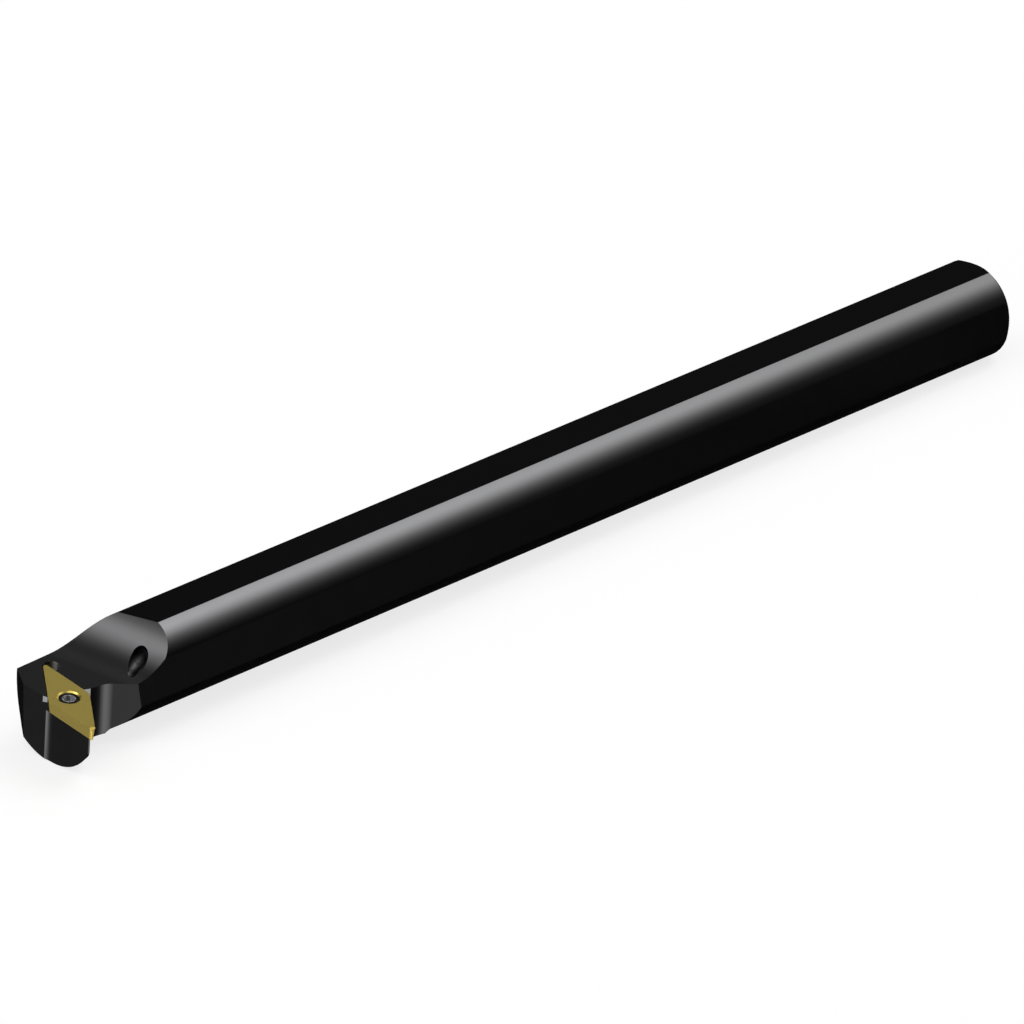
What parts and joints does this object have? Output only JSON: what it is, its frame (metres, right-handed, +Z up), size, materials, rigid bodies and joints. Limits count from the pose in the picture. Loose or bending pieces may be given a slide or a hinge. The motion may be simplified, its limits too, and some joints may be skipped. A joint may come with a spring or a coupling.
{
  "type": "boring bar",
  "caption": "Round-shank internal turning bar with a scooped head, a screw-clamped rhombic insert and coolant through the shank.",
  "frame": {"origin": "centre of the shank's rear end, on the shank's axis", "axes": "+X along the shank away from the head, so the head is at -X; +Z up, square to the flat and the side the insert faces; the cutting tip points to -Y"},
  "size_m": [0.2032, 0.0206, 0.017],
  "materials": {
    "bar": "black oxide, satin",
    "insert": "gold coloured coating, satin",
    "insert_screw": "plain steel"
  },
  "bodies": {
    "root": {"bar": "bar", "insert": "insert", "insert_screw": "insert_screw"}
  },
  "joints": []
}
